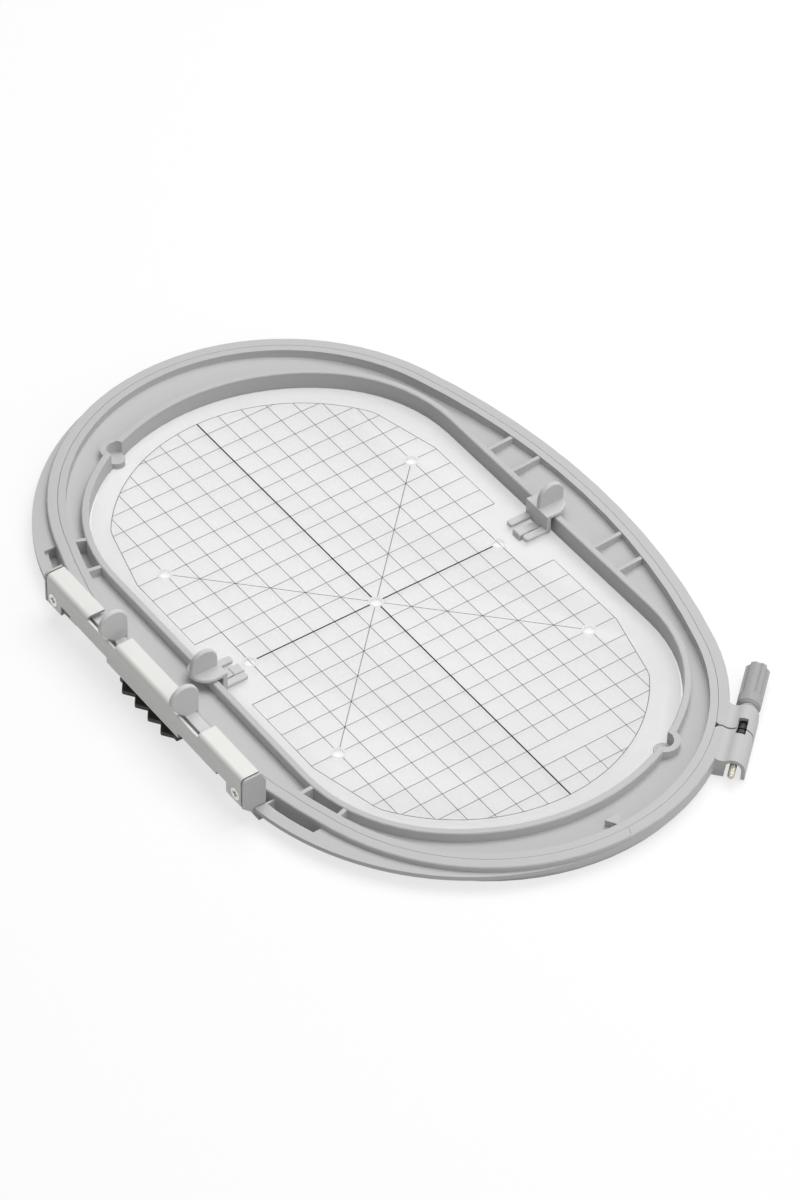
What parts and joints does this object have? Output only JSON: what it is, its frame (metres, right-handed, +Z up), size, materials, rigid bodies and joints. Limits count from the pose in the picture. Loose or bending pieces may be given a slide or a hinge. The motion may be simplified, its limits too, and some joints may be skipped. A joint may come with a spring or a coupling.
{
  "type": "machine embroidery hoop",
  "caption": "Oval machine embroidery hoop: split outer ring with screw clamp and latched coupling bracket, lift-out inner ring, and clear centring template with thumb handles.",
  "frame": {"origin": "middle of the bounding box, on the table face", "axes": "+X across the hoop, away from the coupling bracket; +Y along the hoop; +Z up"},
  "size_m": [0.222, 0.325, 0.0357],
  "materials": {
    "hoop_plastic": "fine satin, light cool grey",
    "cover_metal": "satin brushed sheet",
    "screw_steel": "bright",
    "black_plastic": "satin black",
    "clear_plastic": "clear, gloss, printed grid",
    "handle_plastic": "satin grey, slightly see-through",
    "knob_plastic": "fluted, satin grey"
  },
  "bodies": {
    "outer": {"outer_hoop": "hoop_plastic", "coupling_body": "hoop_plastic", "coupling_cover": "cover_metal", "cover_screw_front": "screw_steel", "cover_screw_rear": "screw_steel", "body_screw_front": "screw_steel", "body_screw_rear": "screw_steel", "coding_comb": "black_plastic", "comb_screw_front": "screw_steel", "comb_screw_rear": "screw_steel", "lever_spring_front": "screw_steel", "lever_spring_rear": "screw_steel", "clamp_nut": "black_plastic", "clamp_washer": "screw_steel"},
    "inner": {"inner_hoop": "hoop_plastic"},
    "template": {"template_plate": "clear_plastic", "template_handle_near": "handle_plastic", "template_handle_far": "handle_plastic"},
    "clamp": {"clamp_knob": "knob_plastic", "clamp_screw": "screw_steel", "clamp_retainer": "black_plastic"},
    "lever_rear": {"release_lever_rear": "hoop_plastic"},
    "lever_front": {"release_lever_front": "hoop_plastic"}
  },
  "joints": [
    {"name": "inner_lift", "type": "slide", "parent": "outer", "child": "inner", "axis": [0, 0, 1], "range_m": [0, 0.03]},
    {"name": "template_lift", "type": "slide", "parent": "inner", "child": "template", "axis": [0, 0, 1], "range_m": [0, 0.03]},
    {"name": "clamp_turn", "type": "hinge", "parent": "outer", "child": "clamp", "pos_m": [0.07149, -0.14254, 0.005], "axis": [0.75, 0.6615, 0], "continuous": true},
    {"name": "lever_rear_squeeze", "type": "slide", "parent": "outer", "child": "lever_rear", "axis": [0, -1, 0], "range_m": [0, 0.0042], "stiffness_N_per_m": 600, "springref_m": -0.004, "deforming": ["lever_spring_rear"]},
    {"name": "lever_front_squeeze", "type": "slide", "parent": "outer", "child": "lever_front", "axis": [0, 1, 0], "range_m": [0, 0.0042], "stiffness_N_per_m": 600, "springref_m": -0.004, "deforming": ["lever_spring_front"]}
  ]
}
